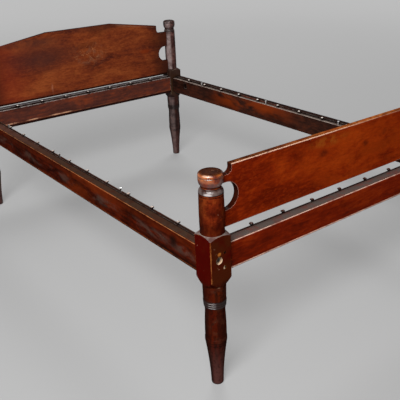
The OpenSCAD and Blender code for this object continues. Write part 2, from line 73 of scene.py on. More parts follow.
POST_AXIS = middle("foot_post_right")
POST_X = abs(POST_AXIS.x)
POST_Y = abs(POST_AXIS.y)
POST_LOW, POST_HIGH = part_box("foot_post_right")
HALF_BLOCK = (POST_HIGH.x - POST_LOW.x) / 2
RAIL_LOW, RAIL_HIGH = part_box("side_rail_right")
BLOCK_BOTTOM = RAIL_LOW.z - BLOCK_UNDER_RAIL
BLOCK_TOP = RAIL_HIGH.z + BLOCK_OVER_RAIL
BOLT = middle("bed_bolt_foot_right")
PIN_LOW, PIN_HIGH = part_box("rail_pins_foot_right")
PIN_X = (abs(PIN_LOW.x) + abs(PIN_HIGH.x)) / 2

# The boards' faces that the photograph shows.
HEADBOARD_FACE = POST_Y - HALF_BOARD
FOOTBOARD_FACE = -POST_Y - HALF_BOARD

# ---- Node graphs -------------------------------------------------------------

SHADING_SAMPLES = 6
SPOT_CORE = 0.25


class Graph:
    """A material's node tree, with one short call for each kind of node."""

    def __init__(self, name):
        self.material = bpy.data.materials.new(name)
        self.material.use_nodes = True
        self.tree = self.material.node_tree
        self.tree.nodes.clear()
        self.shader = self.add("ShaderNodeBsdfPrincipled")
        output = self.add("ShaderNodeOutputMaterial")
        self.link(self.shader.outputs["BSDF"], output.inputs["Surface"])
        self.place = self.add("ShaderNodeTexCoord").outputs["Object"]
        self.facing = self.add("ShaderNodeNewGeometry").outputs["Normal"]
        self.x, self.y, self.z = self.split(self.place)
        self.nx, self.ny, self.nz = self.split(self.facing)

    def add(self, kind):
        return self.tree.nodes.new(kind)

    def link(self, source, target):
        self.tree.links.new(source, target)

    def put(self, value, target):
        """Sets a socket to a number or colour, or links another node's output to it."""
        if isinstance(value, bpy.types.NodeSocket):
            self.link(value, target)
        elif hasattr(value, "__len__") and len(target.default_value) == 4:
            target.default_value = (*value, 1)
        else:
            target.default_value = value

    def split(self, vector):
        node = self.add("ShaderNodeSeparateXYZ")
        self.put(vector, node.inputs[0])
        return node.outputs

    def math(self, operation, a, b=0.0, clamp=False):
        node = self.add("ShaderNodeMath")
        node.operation = operation
        node.use_clamp = clamp
        self.put(a, node.inputs[0])
        self.put(b, node.inputs[1])
        return node.outputs[0]

    def times(self, *values):
        """The product of masks and numbers."""
        result = values[0]
        for value in values[1:]:
            result = self.math("MULTIPLY", result, value)
        return result

    def plus(self, *values):
        """The sum of values."""
        result = values[0]
        for value in values[1:]:
            result = self.math("ADD", result, value)
        return result

    def minus(self, a, b):
        return self.math("SUBTRACT", a, b)

    def either(self, *masks):
        """The strongest of some masks."""
        result = masks[0]
        for mask in masks[1:]:
            result = self.math("MAXIMUM", result, mask)
        return result

    def flip(self, value):
        return self.minus(1.0, value)

    def size(self, value):
        """A value without its sign."""
        return self.math("ABSOLUTE", value)

    def vector(self, operation, a, b=(0, 0, 0)):
        node = self.add("ShaderNodeVectorMath")
        node.operation = operation
        self.put(a, node.inputs[0])
        self.put(b, node.inputs[1])
        return node.outputs["Value" if operation in ("DOT_PRODUCT", "LENGTH") else "Vector"]

    def noise(self, vector, scale, detail=3.0, rough=0.55, distortion=0.0):
        """Noise from about 0 to 1, around 0.5."""
        node = self.add("ShaderNodeTexNoise")
        self.put(vector, node.inputs["Vector"])
        node.inputs["Scale"].default_value = scale
        node.inputs["Detail"].default_value = detail
        node.inputs["Roughness"].default_value = rough
        node.inputs["Distortion"].default_value = distortion
        return node.outputs["Fac"]

    def remap(self, value, low, high, to_low=0.0, to_high=1.0):
        """Maps low..high to to_low..to_high with a smooth step, and holds its ends."""
        node = self.add("ShaderNodeMapRange")
        node.interpolation_type = "SMOOTHSTEP"
        self.put(value, node.inputs["Value"])
        node.inputs["From Min"].default_value = low
        node.inputs["From Max"].default_value = high
        node.inputs["To Min"].default_value = to_low
        node.inputs["To Max"].default_value = to_high
        return node.outputs["Result"]

    def between(self, value, low, high, soft):
        """1 from low to high and 0 outside, over a soft border."""
        return self.times(self.remap(value, low - soft, low + soft),
                          self.flip(self.remap(value, high - soft, high + soft)))

    def stripe(self, value, centre, half, soft):
        """1 within half of the centre, fading to 0 over the soft distance."""
        return self.flip(self.remap(self.size(self.minus(value, centre)), half, half + soft))

    def mix(self, share, a, b):
        node = self.add("ShaderNodeMix")
        node.data_type = "RGBA"
        share_socket, a_socket, b_socket = node.inputs[0], node.inputs[6], node.inputs[7]
        self.put(share, share_socket)
        self.put(a, a_socket)
        self.put(b, b_socket)
        return node.outputs[2]

    def ramp(self, value, *stops):
        """A colour ramp through (place, colour) stops."""
        node = self.add("ShaderNodeValToRGB")
        elements = node.color_ramp.elements
        while len(elements) < len(stops):
            elements.new(0.5)
        for element, (place, colour) in zip(elements, stops):
            element.position = place
            element.color = (*colour, 1)
        self.put(value, node.inputs[0])
        return node.outputs[0]

    def bump(self, height, distance, strength, normal=None):
        node = self.add("ShaderNodeBump")
        node.inputs["Strength"].default_value = strength
        node.inputs["Distance"].default_value = distance
        self.put(height, node.inputs["Height"])
        if normal is not None:
            self.put(normal, node.inputs["Normal"])
        return node.outputs[0]

    def eased(self, radius):
        """The surface's normal with its sharp arrises eased to a small radius."""
        node = self.add("ShaderNodeBevel")
        node.samples = SHADING_SAMPLES
        node.inputs["Radius"].default_value = radius
        return node.outputs[0]

    def arrises(self, radius):
        """1 on sharp arrises and 0 on flats, from how far an eased normal departs from the face's."""
        departure = self.flip(self.vector("DOT_PRODUCT", self.eased(radius), self.facing))
        return self.remap(departure, 0.02, 0.12)

    def hollows(self, distance):
        """1 deep in corners and grooves and 0 on open faces."""
        node = self.add("ShaderNodeAmbientOcclusion")
        node.samples = SHADING_SAMPLES
        node.inputs["Distance"].default_value = distance
        return self.flip(self.remap(node.outputs["AO"], 0.35, 0.9))

    def spot(self, centre, radii):
        """1 at a point and 0 at an ellipsoid's distance from it."""
        scale = [1 / r for r in radii]
        offset = self.vector("MULTIPLY", self.vector("SUBTRACT", self.place, centre), scale)
        return self.flip(self.remap(self.vector("LENGTH", offset), SPOT_CORE, 1.0))

    def leaning(self, outward, headward, up):
        """How far a face looks in one direction, whose x counts away from the bed's middle line."""
        away = self.times(self.nx, self.math("SIGN", self.x), outward)
        return self.plus(away, self.times(self.ny, headward), self.times(self.nz, up))

    def radius_xz(self, x, z):
        """Distance from an axis that runs along the bed at (x, z), the same on both sides."""
        dx = self.minus(self.size(self.x), x)
        dz = self.minus(self.z, z)
        return self.math("SQRT", self.plus(self.times(dx, dx), self.times(dz, dz)))

    def finish(self, **sockets):
        """Sets the shader's sockets, such as base_color, and gives the material."""
        for name, value in sockets.items():
            self.put(value, self.shader.inputs[name.replace("_", " ").title().replace("Ior", "IOR")])
        return self.material


def paint(names, material):
    """Gives CAD nodes a material in place of the one they came with."""
    for name in names:
        nodes[name].data.materials.clear()
        nodes[name].data.materials.append(material)


# ---- Colours -----------------------------------------------------------------

Palette = namedtuple("Palette", "dark mid light")

HEADBOARD = Palette((0.085, 0.016, 0.009), (0.185, 0.035, 0.011), (0.280, 0.064, 0.017))
FOOTBOARD = Palette((0.095, 0.006, 0.001), (0.185, 0.014, 0.0015), (0.290, 0.034, 0.003))
HEAD_RAIL = Palette((0.042, 0.017, 0.015), (0.100, 0.028, 0.018), (0.210, 0.042, 0.016))
FOOT_RAIL = Palette((0.085, 0.006, 0.001), (0.145, 0.010, 0.001), (0.220, 0.021, 0.002))
LEFT_RAIL = Palette((0.016, 0.002, 0.0005), (0.040, 0.004, 0.0008), (0.085, 0.008, 0.0012))
RIGHT_RAIL = Palette((0.016, 0.007, 0.005), (0.034, 0.012, 0.008), (0.066, 0.018, 0.009))
FOOT_POST = Palette((0.062, 0.006, 0.002), (0.125, 0.014, 0.003), (0.190, 0.032, 0.006))
HEAD_POST = Palette((0.040, 0.012, 0.010), (0.120, 0.044, 0.036), (0.260, 0.130, 0.110))
PEG = Palette((0.008, 0.004, 0.003), (0.016, 0.007, 0.005), (0.035, 0.015, 0.010))
DRAWBORE_PIN = Palette((0.006, 0.003, 0.002), (0.016, 0.007, 0.005), (0.035, 0.016, 0.010))

BLACK_BROWN = (0.008, 0.003, 0.002)
BARE_WOOD = (0.62, 0.44, 0.29)
PINK_WORN = (0.62, 0.38, 0.29)
BROWN_WORN = (0.14, 0.05, 0.03)
ORANGE_WORN = (0.62, 0.19, 0.03)
GREY_WORN = (0.42, 0.36, 0.33)

# Painted highlights on the tops of the pegs, one colour for each rail's pegs.
PALE_HIGHLIGHT = (0.88, 0.78, 0.70)
PEG_TIP_HIGHLIGHTS = {"head_rail": PALE_HIGHLIGHT, "foot_rail": (0.15, 0.045, 0.022), "side_rail_left": (0.46, 0.37, 0.32),
            "side_rail_right": PALE_HIGHLIGHT}


def shade(colour, factor):
    """A colour made darker or lighter."""
    return [channel * factor for channel in colour]


# ---- Wood --------------------------------------------------------------------

GRAIN_STRETCH = 16.0
CLOUD_STRETCH = 2.6
MID_TONE = 0.497

# How many times each pattern repeats in a metre, before it is drawn out.
WANDER_SCALE = 2.3
CLOUD_SCALE = 4.0
STAIN_SCALE = 5.2
GRAIN_SCALE = 7.0
SOFT_SCALE = 9.0
WAVE_SCALE = 30.0
SMALL_CLOUD_SCALE = 32.0
MOTTLE_SCALE = 34.0
FINE_SCALE = 48.0
STROKE_SCALE = 60.0
SPECK_SCALE = 110.0
PIT_SCALE = 260.0

WANDER = 0.03
EASED_ARRIS = 0.002
WORN_ARRIS = 0.0045
RELIEF = 0.35
GRAIN_DEPTH = 0.0004
WAVE_DEPTH = 0.0012
PIT_DEPTH = 0.0008
POLISH_IOR = 1.85


class Wood(Graph):
    """Old varnished wood with its grain along one axis, built up in layers.

    The tone is made of clouds, grain and small clouds, in the given shares. The spread is how far a tone
    may lie from the middle one before it reaches the palette's dark or light. The seed moves the pattern.
    """

    def __init__(self, name, axis, palette, shares=(0.42, 0.28, 0.30), stretch=CLOUD_STRETCH, seed=0.0,
                 spread=0.070):
        super().__init__(name)
        wander = self.add("ShaderNodeTexNoise")
        wander.inputs["Scale"].default_value = WANDER_SCALE
        wander.inputs["Detail"].default_value = 2.0
        self.put(self.place, wander.inputs["Vector"])
        drift = self.vector("MULTIPLY", wander.outputs["Color"], (WANDER, WANDER, WANDER))
        self.moved = self.vector("ADD", self.vector("ADD", self.place, drift), (seed, seed, seed))
        self.grain = self.vector("MULTIPLY", self.moved, self.squeeze(axis, GRAIN_STRETCH))
        self.clouds = self.vector("MULTIPLY", self.moved, self.squeeze(axis, stretch))

        layers = (self.noise(self.clouds, CLOUD_SCALE, 5, 0.62, 0.5),
                  self.noise(self.grain, GRAIN_SCALE, 5, 0.62),
                  self.noise(self.clouds, SMALL_CLOUD_SCALE, 4, 0.65))
        tone = self.plus(*[self.times(layer, share) for layer, share in zip(layers, shares)])
        self.colour = self.ramp(tone, (MID_TONE - spread, palette.dark), (MID_TONE, palette.mid),
                                (MID_TONE + spread, palette.light))
        self.fine = self.noise(self.grain, FINE_SCALE, 3, 0.6)
        self.lay(self.remap(self.fine, 0.48, 0.70), shade(palette.dark, 0.4), 0.35)
        self.mottle = self.noise(self.moved, MOTTLE_SCALE, 4, 0.62)
        self.edge_normal = self.eased(EASED_ARRIS)
        self.edges = self.arrises(WORN_ARRIS)

    @staticmethod
    def squeeze(axis, stretch):
        """Factors that draw a pattern out along one axis."""
        factors = [stretch, stretch, stretch]
        factors["XYZ".index(axis)] = 1.0
        return factors

    def lay(self, mask, colour, amount=1.0):
        """Lays a colour over the wood where the mask is."""
        self.colour = self.mix(self.math("MULTIPLY", mask, amount, clamp=True), self.colour, colour)

    def patchy(self, low=0.40, high=0.60, least=0.2):
        """A small-scale mottling from least to 1, to break up a mask."""
        return self.remap(self.mottle, low, high, least, 1.0)

    def stains(self, colour, amount, low=0.54, high=0.70):
        """Broad dark stains that follow the grain loosely."""
        self.lay(self.remap(self.noise(self.clouds, STAIN_SCALE, 3, 0.5, 0.8), low, high), colour, amount)

    def scratches(self, mask, scale, width, colour, amount):
        """Thin wandering scratches."""
        field = self.noise(self.moved, scale, 2, 0.5, 1.4)
        line = self.flip(self.remap(self.size(self.minus(field, 0.5)), 0.0, width))
        self.lay(self.times(line, mask), colour, amount)

    def grime_and_shade(self, amount, distance):
        """Painted shade with old grime, darkening corners and grooves."""
        self.lay(self.hollows(distance), BLACK_BROWN, amount)

    def varnished(self, roughness=0.45, coat=0.04, coat_roughness=0.14, pitting=None, coat_ior=1.5):
        """Ends the material with its varnish, its only sheen, which is finely pitted where a mask says so."""
        bumps = self.bump(self.fine, GRAIN_DEPTH, RELIEF, self.edge_normal)
        bumps = self.bump(self.noise(self.moved, WAVE_SCALE, 3, 0.5), WAVE_DEPTH, RELIEF * 0.6, bumps)
        coated = bumps
        if pitting is not None:
            pits = self.times(self.noise(self.moved, PIT_SCALE, 2), pitting)
            coated = self.bump(pits, PIT_DEPTH, 1.0, bumps)
        return self.finish(base_color=self.colour, normal=bumps, coat_normal=coated, roughness=roughness,
                           specular_ior_level=0.0, coat_weight=coat, coat_roughness=coat_roughness,
                           coat_ior=coat_ior)


# ---- Boards ------------------------------------------------------------------

WARM_SCALE = 9.0
SCRATCH_SCALE = 13.0

# On the headboard.
SCRATCHED = (0.42, 0.17, 0.07)
SCUFFED = (0.20, 0.09, 0.05)
LOW_SCUFF = (0.50, 0.22, 0.13)
RED_LEFT = (0.230, 0.024, 0.009)
DARK_CLOUD = (0.045, 0.016, 0.014)
RED_PATCH = (0.22, 0.03, 0.006)
DULL_LEFT = (0.070, 0.022, 0.016)
DARK_CREST = (0.035, 0.012, 0.010)
PALE_SCRATCH = (0.30, 0.13, 0.07)
DARK_END = (0.024, 0.008, 0.006)

# On the footboard.
WARM_RIGHT = (0.33, 0.040, 0.003)
KNOT = (0.030, 0.004, 0.002)
SMEAR = (0.30, 0.078, 0.008)
AMBER_EDGE = (0.34, 0.10, 0.02)
PALE_ARRIS = (0.80, 0.48, 0.34)


def board_wood(name, palette, worn, worn_amount, seed, spread):
    """A wide board: cloudy colour on its faces, and a dark edge with a worn arris."""
    wood = Wood(name, "X", palette, shares=(0.66, 0.16, 0.18), seed=seed, spread=spread)
    wood.stains(shade(palette.dark, 0.5), 0.4, 0.52, 0.72)
    strokes = wood.noise(wood.clouds, STROKE_SCALE, 3, 0.6)
    wood.lay(wood.remap(strokes, 0.50, 0.66), shade(palette.light, 1.3), 0.22)
    wood.lay(wood.remap(strokes, 0.50, 0.34), shade(palette.dark, 0.6), 0.22)
    on_face = wood.remap(wood.size(wood.ny), 0.5, 0.8)
    wood.lay(wood.flip(on_face), BLACK_BROWN, 0.92)
    wood.lay(wood.times(wood.edges, on_face, wood.patchy(0.34, 0.56, 0.35)), worn, worn_amount)
    # Painted shade with grime in the corners and grooves.
    wood.grime_and_shade(0.7, distance=0.02)
    return wood


def headboard_wood():
    """The headboard, redder to the left, with dark clouds, a scuffed middle and darker ends."""
    wood = board_wood("headboard_varnish", HEADBOARD, BROWN_WORN, 0.4, seed=0.0, spread=0.105)
    face = HEADBOARD_FACE

    scuffs = wood.spot((0.04, face, 0.712), (0.14, 0.02, 0.085))
    wood.scratches(scuffs, SCRATCH_SCALE, 0.012, SCRATCHED, 0.8)
    wood.lay(wood.times(scuffs, wood.remap(wood.mottle, 0.48, 0.62)), SCUFFED, 0.35)
    low_scuff = wood.spot((-0.199, face, 0.568), (0.008, 0.02, 0.036))
    wood.lay(wood.times(low_scuff, wood.patchy()), LOW_SCUFF, 0.7)

    red_left = wood.remap(wood.x, -0.22, -0.50)
    wood.lay(red_left, RED_LEFT, 0.45)
    for x, z, length, height in ((-0.241, 0.727, 0.12, 0.05), (-0.300, 0.822, 0.26, 0.034)):
        cloud = wood.spot((x, face, z), (length, 0.03, height))
        wood.lay(wood.times(cloud, wood.patchy(0.3, 0.6, 0.4)), DARK_CLOUD, 0.65)
    red_patch = wood.spot((0.401, face, 0.680), (0.05, 0.03, 0.018))
    wood.lay(red_patch, RED_PATCH, 0.7)
    dull_left = wood.spot((-0.24, face, 0.745), (0.30, 0.03, 0.12))
    wood.lay(dull_left, DULL_LEFT, 0.5)
    dark_crest = wood.spot((0.30, POST_Y, 0.87), (0.7, 0.05, 0.055))
    wood.lay(dark_crest, DARK_CREST, 0.65)

    # A long pale scratch, which falls a little to the right.
    fallen = wood.plus(wood.z, wood.times(wood.x, 0.16))
    scratch = wood.times(wood.stripe(fallen, 0.885, 0.0015, 0.002), wood.between(wood.x, 0.22, 0.47, 0.03))
    wood.lay(wood.times(scratch, wood.patchy()), PALE_SCRATCH, 0.6)

    dark_ends = wood.remap(wood.size(wood.x), 0.41, 0.54)
    wood.lay(dark_ends, DARK_END, 0.8)
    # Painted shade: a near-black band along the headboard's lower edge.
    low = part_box("headboard")[0].z
    wood.lay(wood.flip(wood.remap(wood.z, low + 0.007, low + 0.012)), BLACK_BROWN, 0.9)
    return wood.varnished(roughness=0.5, coat=0.03, coat_roughness=0.2)


def footboard_wood():
    """The footboard, warmer to the right, with three knots, a smear and a worn top edge."""
    wood = board_wood("footboard_varnish", FOOTBOARD, PINK_WORN, 0.5, seed=3.7, spread=0.11)
    face = FOOTBOARD_FACE
    warm = wood.times(wood.remap(wood.x, -0.45, 0.05, 0.05, 0.5),
                      wood.remap(wood.noise(wood.clouds, WARM_SCALE, 4, 0.6), 0.40, 0.60, 0.2, 1.0))
    wood.lay(warm, WARM_RIGHT)
    for x, z, radius in ((-0.133, 0.683, 0.017), (0.177, 0.688, 0.012), (0.078, 0.669, 0.014)):
        knot = wood.spot((x, face, z), (radius * 1.8, 0.03, radius * 1.1))
        wood.lay(wood.times(knot, wood.patchy(0.30, 0.60, 0.3)), KNOT, 0.6)
    smear = wood.spot((-0.105, face, 0.722), (0.12, 0.03, 0.026))
    wood.lay(wood.times(smear, wood.patchy(0.36, 0.56, 0.1)), SMEAR, 0.6)

    top = top_of("footboard")
    top_edge = wood.remap(wood.z, top - 0.0035, top - 0.0020)
    warmer_right = wood.remap(wood.x, -0.35, 0.05, 0.35, 1.0)
    wood.lay(wood.times(top_edge, warmer_right, wood.patchy()), AMBER_EDGE, 0.9)
    front_arris = wood.times(top_edge, wood.stripe(wood.y, face, 0.0009, 0.0008),
                             wood.remap(wood.x, -0.20, 0.15, 1.0, 0.25))
    wood.lay(wood.times(front_arris, wood.patchy(0.34, 0.50, 0.4)), PALE_ARRIS, 0.95)
    return wood.varnished(roughness=0.5, coat=0.02)


paint(["headboard"], headboard_wood())
paint(["footboard"], footboard_wood())

# ---- Rails -------------------------------------------------------------------

WARM_RAIL_SCALE = 3.2
SCUFF_SCALE = 6.0
FINE_SCRATCH_SCALE = 22.0

# On the head and foot rails.
UNDER_CHIPS = (0.22, 0.070, 0.030)
CHIPPED = (0.66, 0.34, 0.20)
PINK_SHOULDER = (0.66, 0.44, 0.34)
PINK_LINE = (0.80, 0.50, 0.38)

# On the side rails.
WARM_MIDDLE = (0.23, 0.032, 0.004)
RED_BAND = (0.100, 0.013, 0.0025)
GREY_SCUFF = (0.085, 0.050, 0.038)
GREY_SCRATCH = (0.20, 0.13, 0.10)
ORANGE_SHOULDER = (0.50, 0.20, 0.07)
ORANGE_LINE = (0.22, 0.050, 0.012)


class Rail(Wood):
    """A rail's wood, which knows its outer and inner sides, its top and its rabbet.

    The line is half the width of the black line, a painted shadow, along the rabbet's corner. The colours
    are those of the top, the rabbet's ledge and the ledge's arris; the grey tops of the end rails and the
    pale ledge and arris of the right rail are painted reflections.
    """

    def __init__(self, piece, axis, palette, top, ledge, wear_and_sheen, line, spread, seed):
        super().__init__(f"{piece}_varnish", axis, palette, seed=seed, spread=spread)
        low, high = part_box(piece)
        if axis == "Y":
            across, normal, rebate = self.x, self.nx, SIDE_REBATE
            inner, self.outer = sorted((abs(low.x), abs(high.x)))
        else:
            across, normal, rebate = self.y, self.ny, END_REBATE
            inner, self.outer = sorted((abs(low.y), abs(high.y)))
        self.low, self.high = low.z, high.z
        self.reach = self.size(across)
        outward = self.times(normal, self.math("SIGN", across))
        self.stains(shade(palette.dark, 0.45), 0.05 / spread)
        self.on_outer = self.remap(outward, 0.5, 0.8)
        self.on_inner = self.remap(outward, -0.5, -0.8)
        self.level = self.remap(self.nz, 0.7, 0.95)

        on_ledge = self.flip(self.remap(self.reach, inner + rebate - 0.001, inner + rebate + 0.001))
        self.lay(self.times(self.level, self.patchy(0.30, 0.60, 0.6)), self.mix(on_ledge, top, ledge), 0.95)
        # Painted shadow: a black line along the rabbet's step.
        corner_shadow = self.stripe(self.reach, inner + rebate + line - 0.002, line, 0.002)
        self.lay(self.times(self.level, corner_shadow), BLACK_BROWN, 0.92)
        inner_arris = self.times(self.level, on_ledge, self.stripe(self.reach, inner, 0.0035, 0.001))
        self.lay(self.times(inner_arris, self.patchy(0.36, 0.50, 0.4)), wear_and_sheen, 0.9)
        # Painted shade: the rabbet's riser, on the inner side, laid near black.
        riser_from = high.z - REBATE_DEPTH
        riser_shade = self.remap(self.z, riser_from - 0.0005, riser_from + 0.0005)
        self.lay(self.times(self.on_inner, riser_shade), BLACK_BROWN, 0.95)

    def worn_shoulder(self, colour, amount, low, high):
        """Wear along the rounded upper outer arris, where it faces up by low to high."""
        at_edge = self.remap(self.reach, self.outer - 0.008, self.outer - 0.007)
        rounded = self.between(self.nz, low, high, 0.06)
        self.lay(self.times(at_edge, rounded, self.patchy(0.36, 0.58, 0.35)), colour, amount)

    def low_band(self, side, low, high, colour, amount, least):
        """A band along one side, between two heights over the rail's underside."""
        band = self.between(self.z, self.low + low, self.low + high, 0.001)
        self.lay(self.times(side, band, self.patchy(0.38, 0.58, least)), colour, amount)

    def worn_edges(self, amount):
        """Grey wear on the arrises, and painted shade with grime in the corners."""
        self.lay(self.times(self.edges, self.patchy(0.38, 0.58, 0.15)), GREY_WORN, amount)
        self.grime_and_shade(0.9, distance=0.014)


def head_rail_wood():
    """The head rail: painted shadows round its pegs, and painted shade and chips low on its inner side."""
    # Its grey top is a painted reflection of the backdrop.
    rail = Rail("head_rail", "X", HEAD_RAIL, top=(0.180, 0.165, 0.170), ledge=(0.042, 0.035, 0.034),
                wear_and_sheen=(0.66, 0.62, 0.58), line=0.0, spread=0.125, seed=1.3)
    rail.worn_shoulder(GREY_WORN, 0.6, low=0.30, high=0.88)
    rail.worn_edges(0.75)
    # Painted shadows: a black spot round each peg.
    first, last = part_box("head_rail_pegs")
    radius = (last.y - first.y) / 2
    for i in range(END_PEGS):
        x = first.x + radius + i / (END_PEGS - 1) * (last.x - first.x - 2 * radius)
        rail.lay(rail.spot((x, first.y, rail.high), (0.020, 0.040, 0.016)), BLACK_BROWN, 0.95)
    # Painted shade: a near-black band along the bottom of the inner face.
    rail.low_band(rail.on_inner, -0.001, 0.013, BLACK_BROWN, 0.92, least=0.9)
    rail.low_band(rail.on_inner, 0.014, 0.018, UNDER_CHIPS, 0.7, least=0.0)
    inner_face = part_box("head_rail")[0].y
    for x in (-0.465, -0.340, -0.212, -0.152):
        chip = rail.spot((x, inner_face, rail.low + 0.018), (0.050, 0.010, 0.0045))
        rail.lay(rail.times(chip, rail.patchy(0.3, 0.5, 0.1)), CHIPPED, 0.9)
    return rail.varnished()


def foot_rail_wood():
    """The foot rail: red, with a pale worn shoulder and a pale line near its underside."""
    # Its grey-brown top is a painted reflection of the backdrop.
    rail = Rail("foot_rail", "X", FOOT_RAIL, top=(0.068, 0.055, 0.048), ledge=(0.016, 0.008, 0.006),
                wear_and_sheen=(0.06, 0.03, 0.02), line=0.0032, spread=0.105, seed=2.2)
    rail.worn_shoulder(PINK_SHOULDER, 0.95, low=0.50, high=0.80)
    rail.worn_edges(0.25)
    rail.low_band(rail.on_outer, 0.0030, 0.0060, PINK_LINE, 0.95, least=0.55)
    return rail.varnished()


def side_rail_wood(piece, palette, top, head_top, ledge, wear_and_sheen, warm_from, warm_to, warmth, scuffing, line,
                   seed):
    """A side rail: dark towards its ends, and orange between two places along the bed."""
    rail = Rail(piece, "Y", palette, top, ledge, wear_and_sheen, line, 0.085, seed)
    warm_clouds = rail.remap(rail.noise(rail.clouds, WARM_RAIL_SCALE, 4, 0.6, 0.6), 0.42, 0.60)
    warmer_up = rail.remap(rail.z, rail.low + 0.01, rail.high - 0.03, 0.55, 1.0)
    warm = rail.times(warmer_up, warm_clouds, rail.either(rail.on_outer, rail.on_inner),
                      rail.between(rail.y, warm_from, warm_to, 0.15))
    rail.lay(warm, WARM_MIDDLE, warmth)

    outer_top = rail.times(rail.level, rail.remap(rail.reach, rail.outer - 0.036, rail.outer - 0.034))
    towards_head = rail.remap(rail.y, -0.1, 0.8)
    rail.lay(rail.times(outer_top, towards_head, rail.patchy(0.34, 0.60, 0.5)), head_top, 0.85)

    upper_band = rail.between(rail.z, rail.high - 0.026, rail.high - 0.008, 0.004)
    upper_band = rail.times(upper_band, rail.on_outer, rail.patchy(0.34, 0.60, 0.3))
    rail.lay(upper_band, RED_BAND, 0.5)
    middle_band = rail.between(rail.z, rail.low + 0.028, rail.high - 0.034, 0.010)
    middle_band = rail.times(rail.on_outer, middle_band)
    scuffs = rail.remap(rail.noise(rail.clouds, SCUFF_SCALE, 4, 0.6, 0.6), 0.46, 0.64)
    rail.lay(rail.times(middle_band, scuffs), GREY_SCUFF, scuffing)
    low_foot_end = rail.times(rail.on_outer, rail.remap(rail.z, rail.low + 0.034, rail.low + 0.006),
                              rail.remap(rail.y, -0.50, -0.80))
    rail.lay(low_foot_end, BLACK_BROWN, 0.75)
    rail.scratches(middle_band, FINE_SCRATCH_SCALE, 0.006, GREY_SCRATCH, scuffing * 0.4)

    rail.worn_shoulder(ORANGE_SHOULDER, 0.8, low=0.5, high=0.72)
    rail.worn_edges(0.3)
    # Painted shade: a black spot over each nut pocket.
    for end in ENDS:
        pocket = middle(piece.replace("side_rail", f"bolt_nut_{end}"))
        rail.lay(rail.spot(pocket, (0.09, 0.034, 0.034)), BLACK_BROWN, 0.9)
    # Painted shade: a near-black band along the bottom of the outer face.
    rail.low_band(rail.on_outer, -0.001, 0.004, BLACK_BROWN, 0.8, least=0.6)
    rail.low_band(rail.on_outer, 0.005, 0.008, ORANGE_LINE, 0.8, least=0.2)
    return rail.varnished(roughness=0.5, coat=0.025, coat_roughness=0.16)


paint(["head_rail"], head_rail_wood())
paint(["foot_rail"], foot_rail_wood())
paint(["side_rail_left"],
      side_rail_wood("side_rail_left", LEFT_RAIL, top=(0.040, 0.022, 0.014), head_top=(0.090, 0.038, 0.028),
                     ledge=(0.018, 0.010, 0.007), wear_and_sheen=(0.12, 0.07, 0.05), warm_from=-0.40, warm_to=0.30,
                     warmth=0.45, scuffing=0.5, line=0.0035, seed=5.1))
# The right rail's pale ledge and ledge arris are a painted reflection of the backdrop.
paint(["side_rail_right"],
      side_rail_wood("side_rail_right", RIGHT_RAIL, top=(0.016, 0.008, 0.006), head_top=(0.022, 0.010, 0.007),
                     ledge=(0.120, 0.095, 0.082), wear_and_sheen=(0.48, 0.39, 0.33), warm_from=-0.05, warm_to=0.50,
                     warmth=0.80, scuffing=0.3, line=0.002, seed=8.3))

# ---- Posts -------------------------------------------------------------------

# Directions for Graph.leaning: away from the bed's middle line, towards its head, and up.
OUTER_FRONT = (0.80, -0.60, 0.0)
INNER_FRONT = (-0.80, -0.60, 0.0)
OUTER_BACK = (0.79, 0.62, 0.0)
CROWN_FRONT = (0.66, -0.49, 0.57)

STREAK_SCALE = 3.0
BLOTCH_SCALE = 58.0

LEG_BROWN = (0.070, 0.020, 0.010)
FOOT_DUST = (0.085, 0.034, 0.029)
CROWN_TOP = (0.022, 0.007, 0.004)
CROWN_HIGHLIGHT = (0.66, 0.42, 0.28)
PALE_SPECK = (0.5, 0.25, 0.15)
RING_DARK = (0.012, 0.006, 0.005)
RING_CREST = (0.05, 0.038, 0.036)
CREST_HIGHLIGHT = (0.55, 0.51, 0.50)
SHOULDER_DARK = (0.014, 0.008, 0.007)
SHOULDER_MOTTLE = (0.120, 0.080, 0.070)
SHOULDER_HIGHLIGHT = (0.52, 0.47, 0.46)
OUTER_CORNER = (0.90, 0.34, 0.09)
BOLT_MARK = (0.50, 0.16, 0.025)


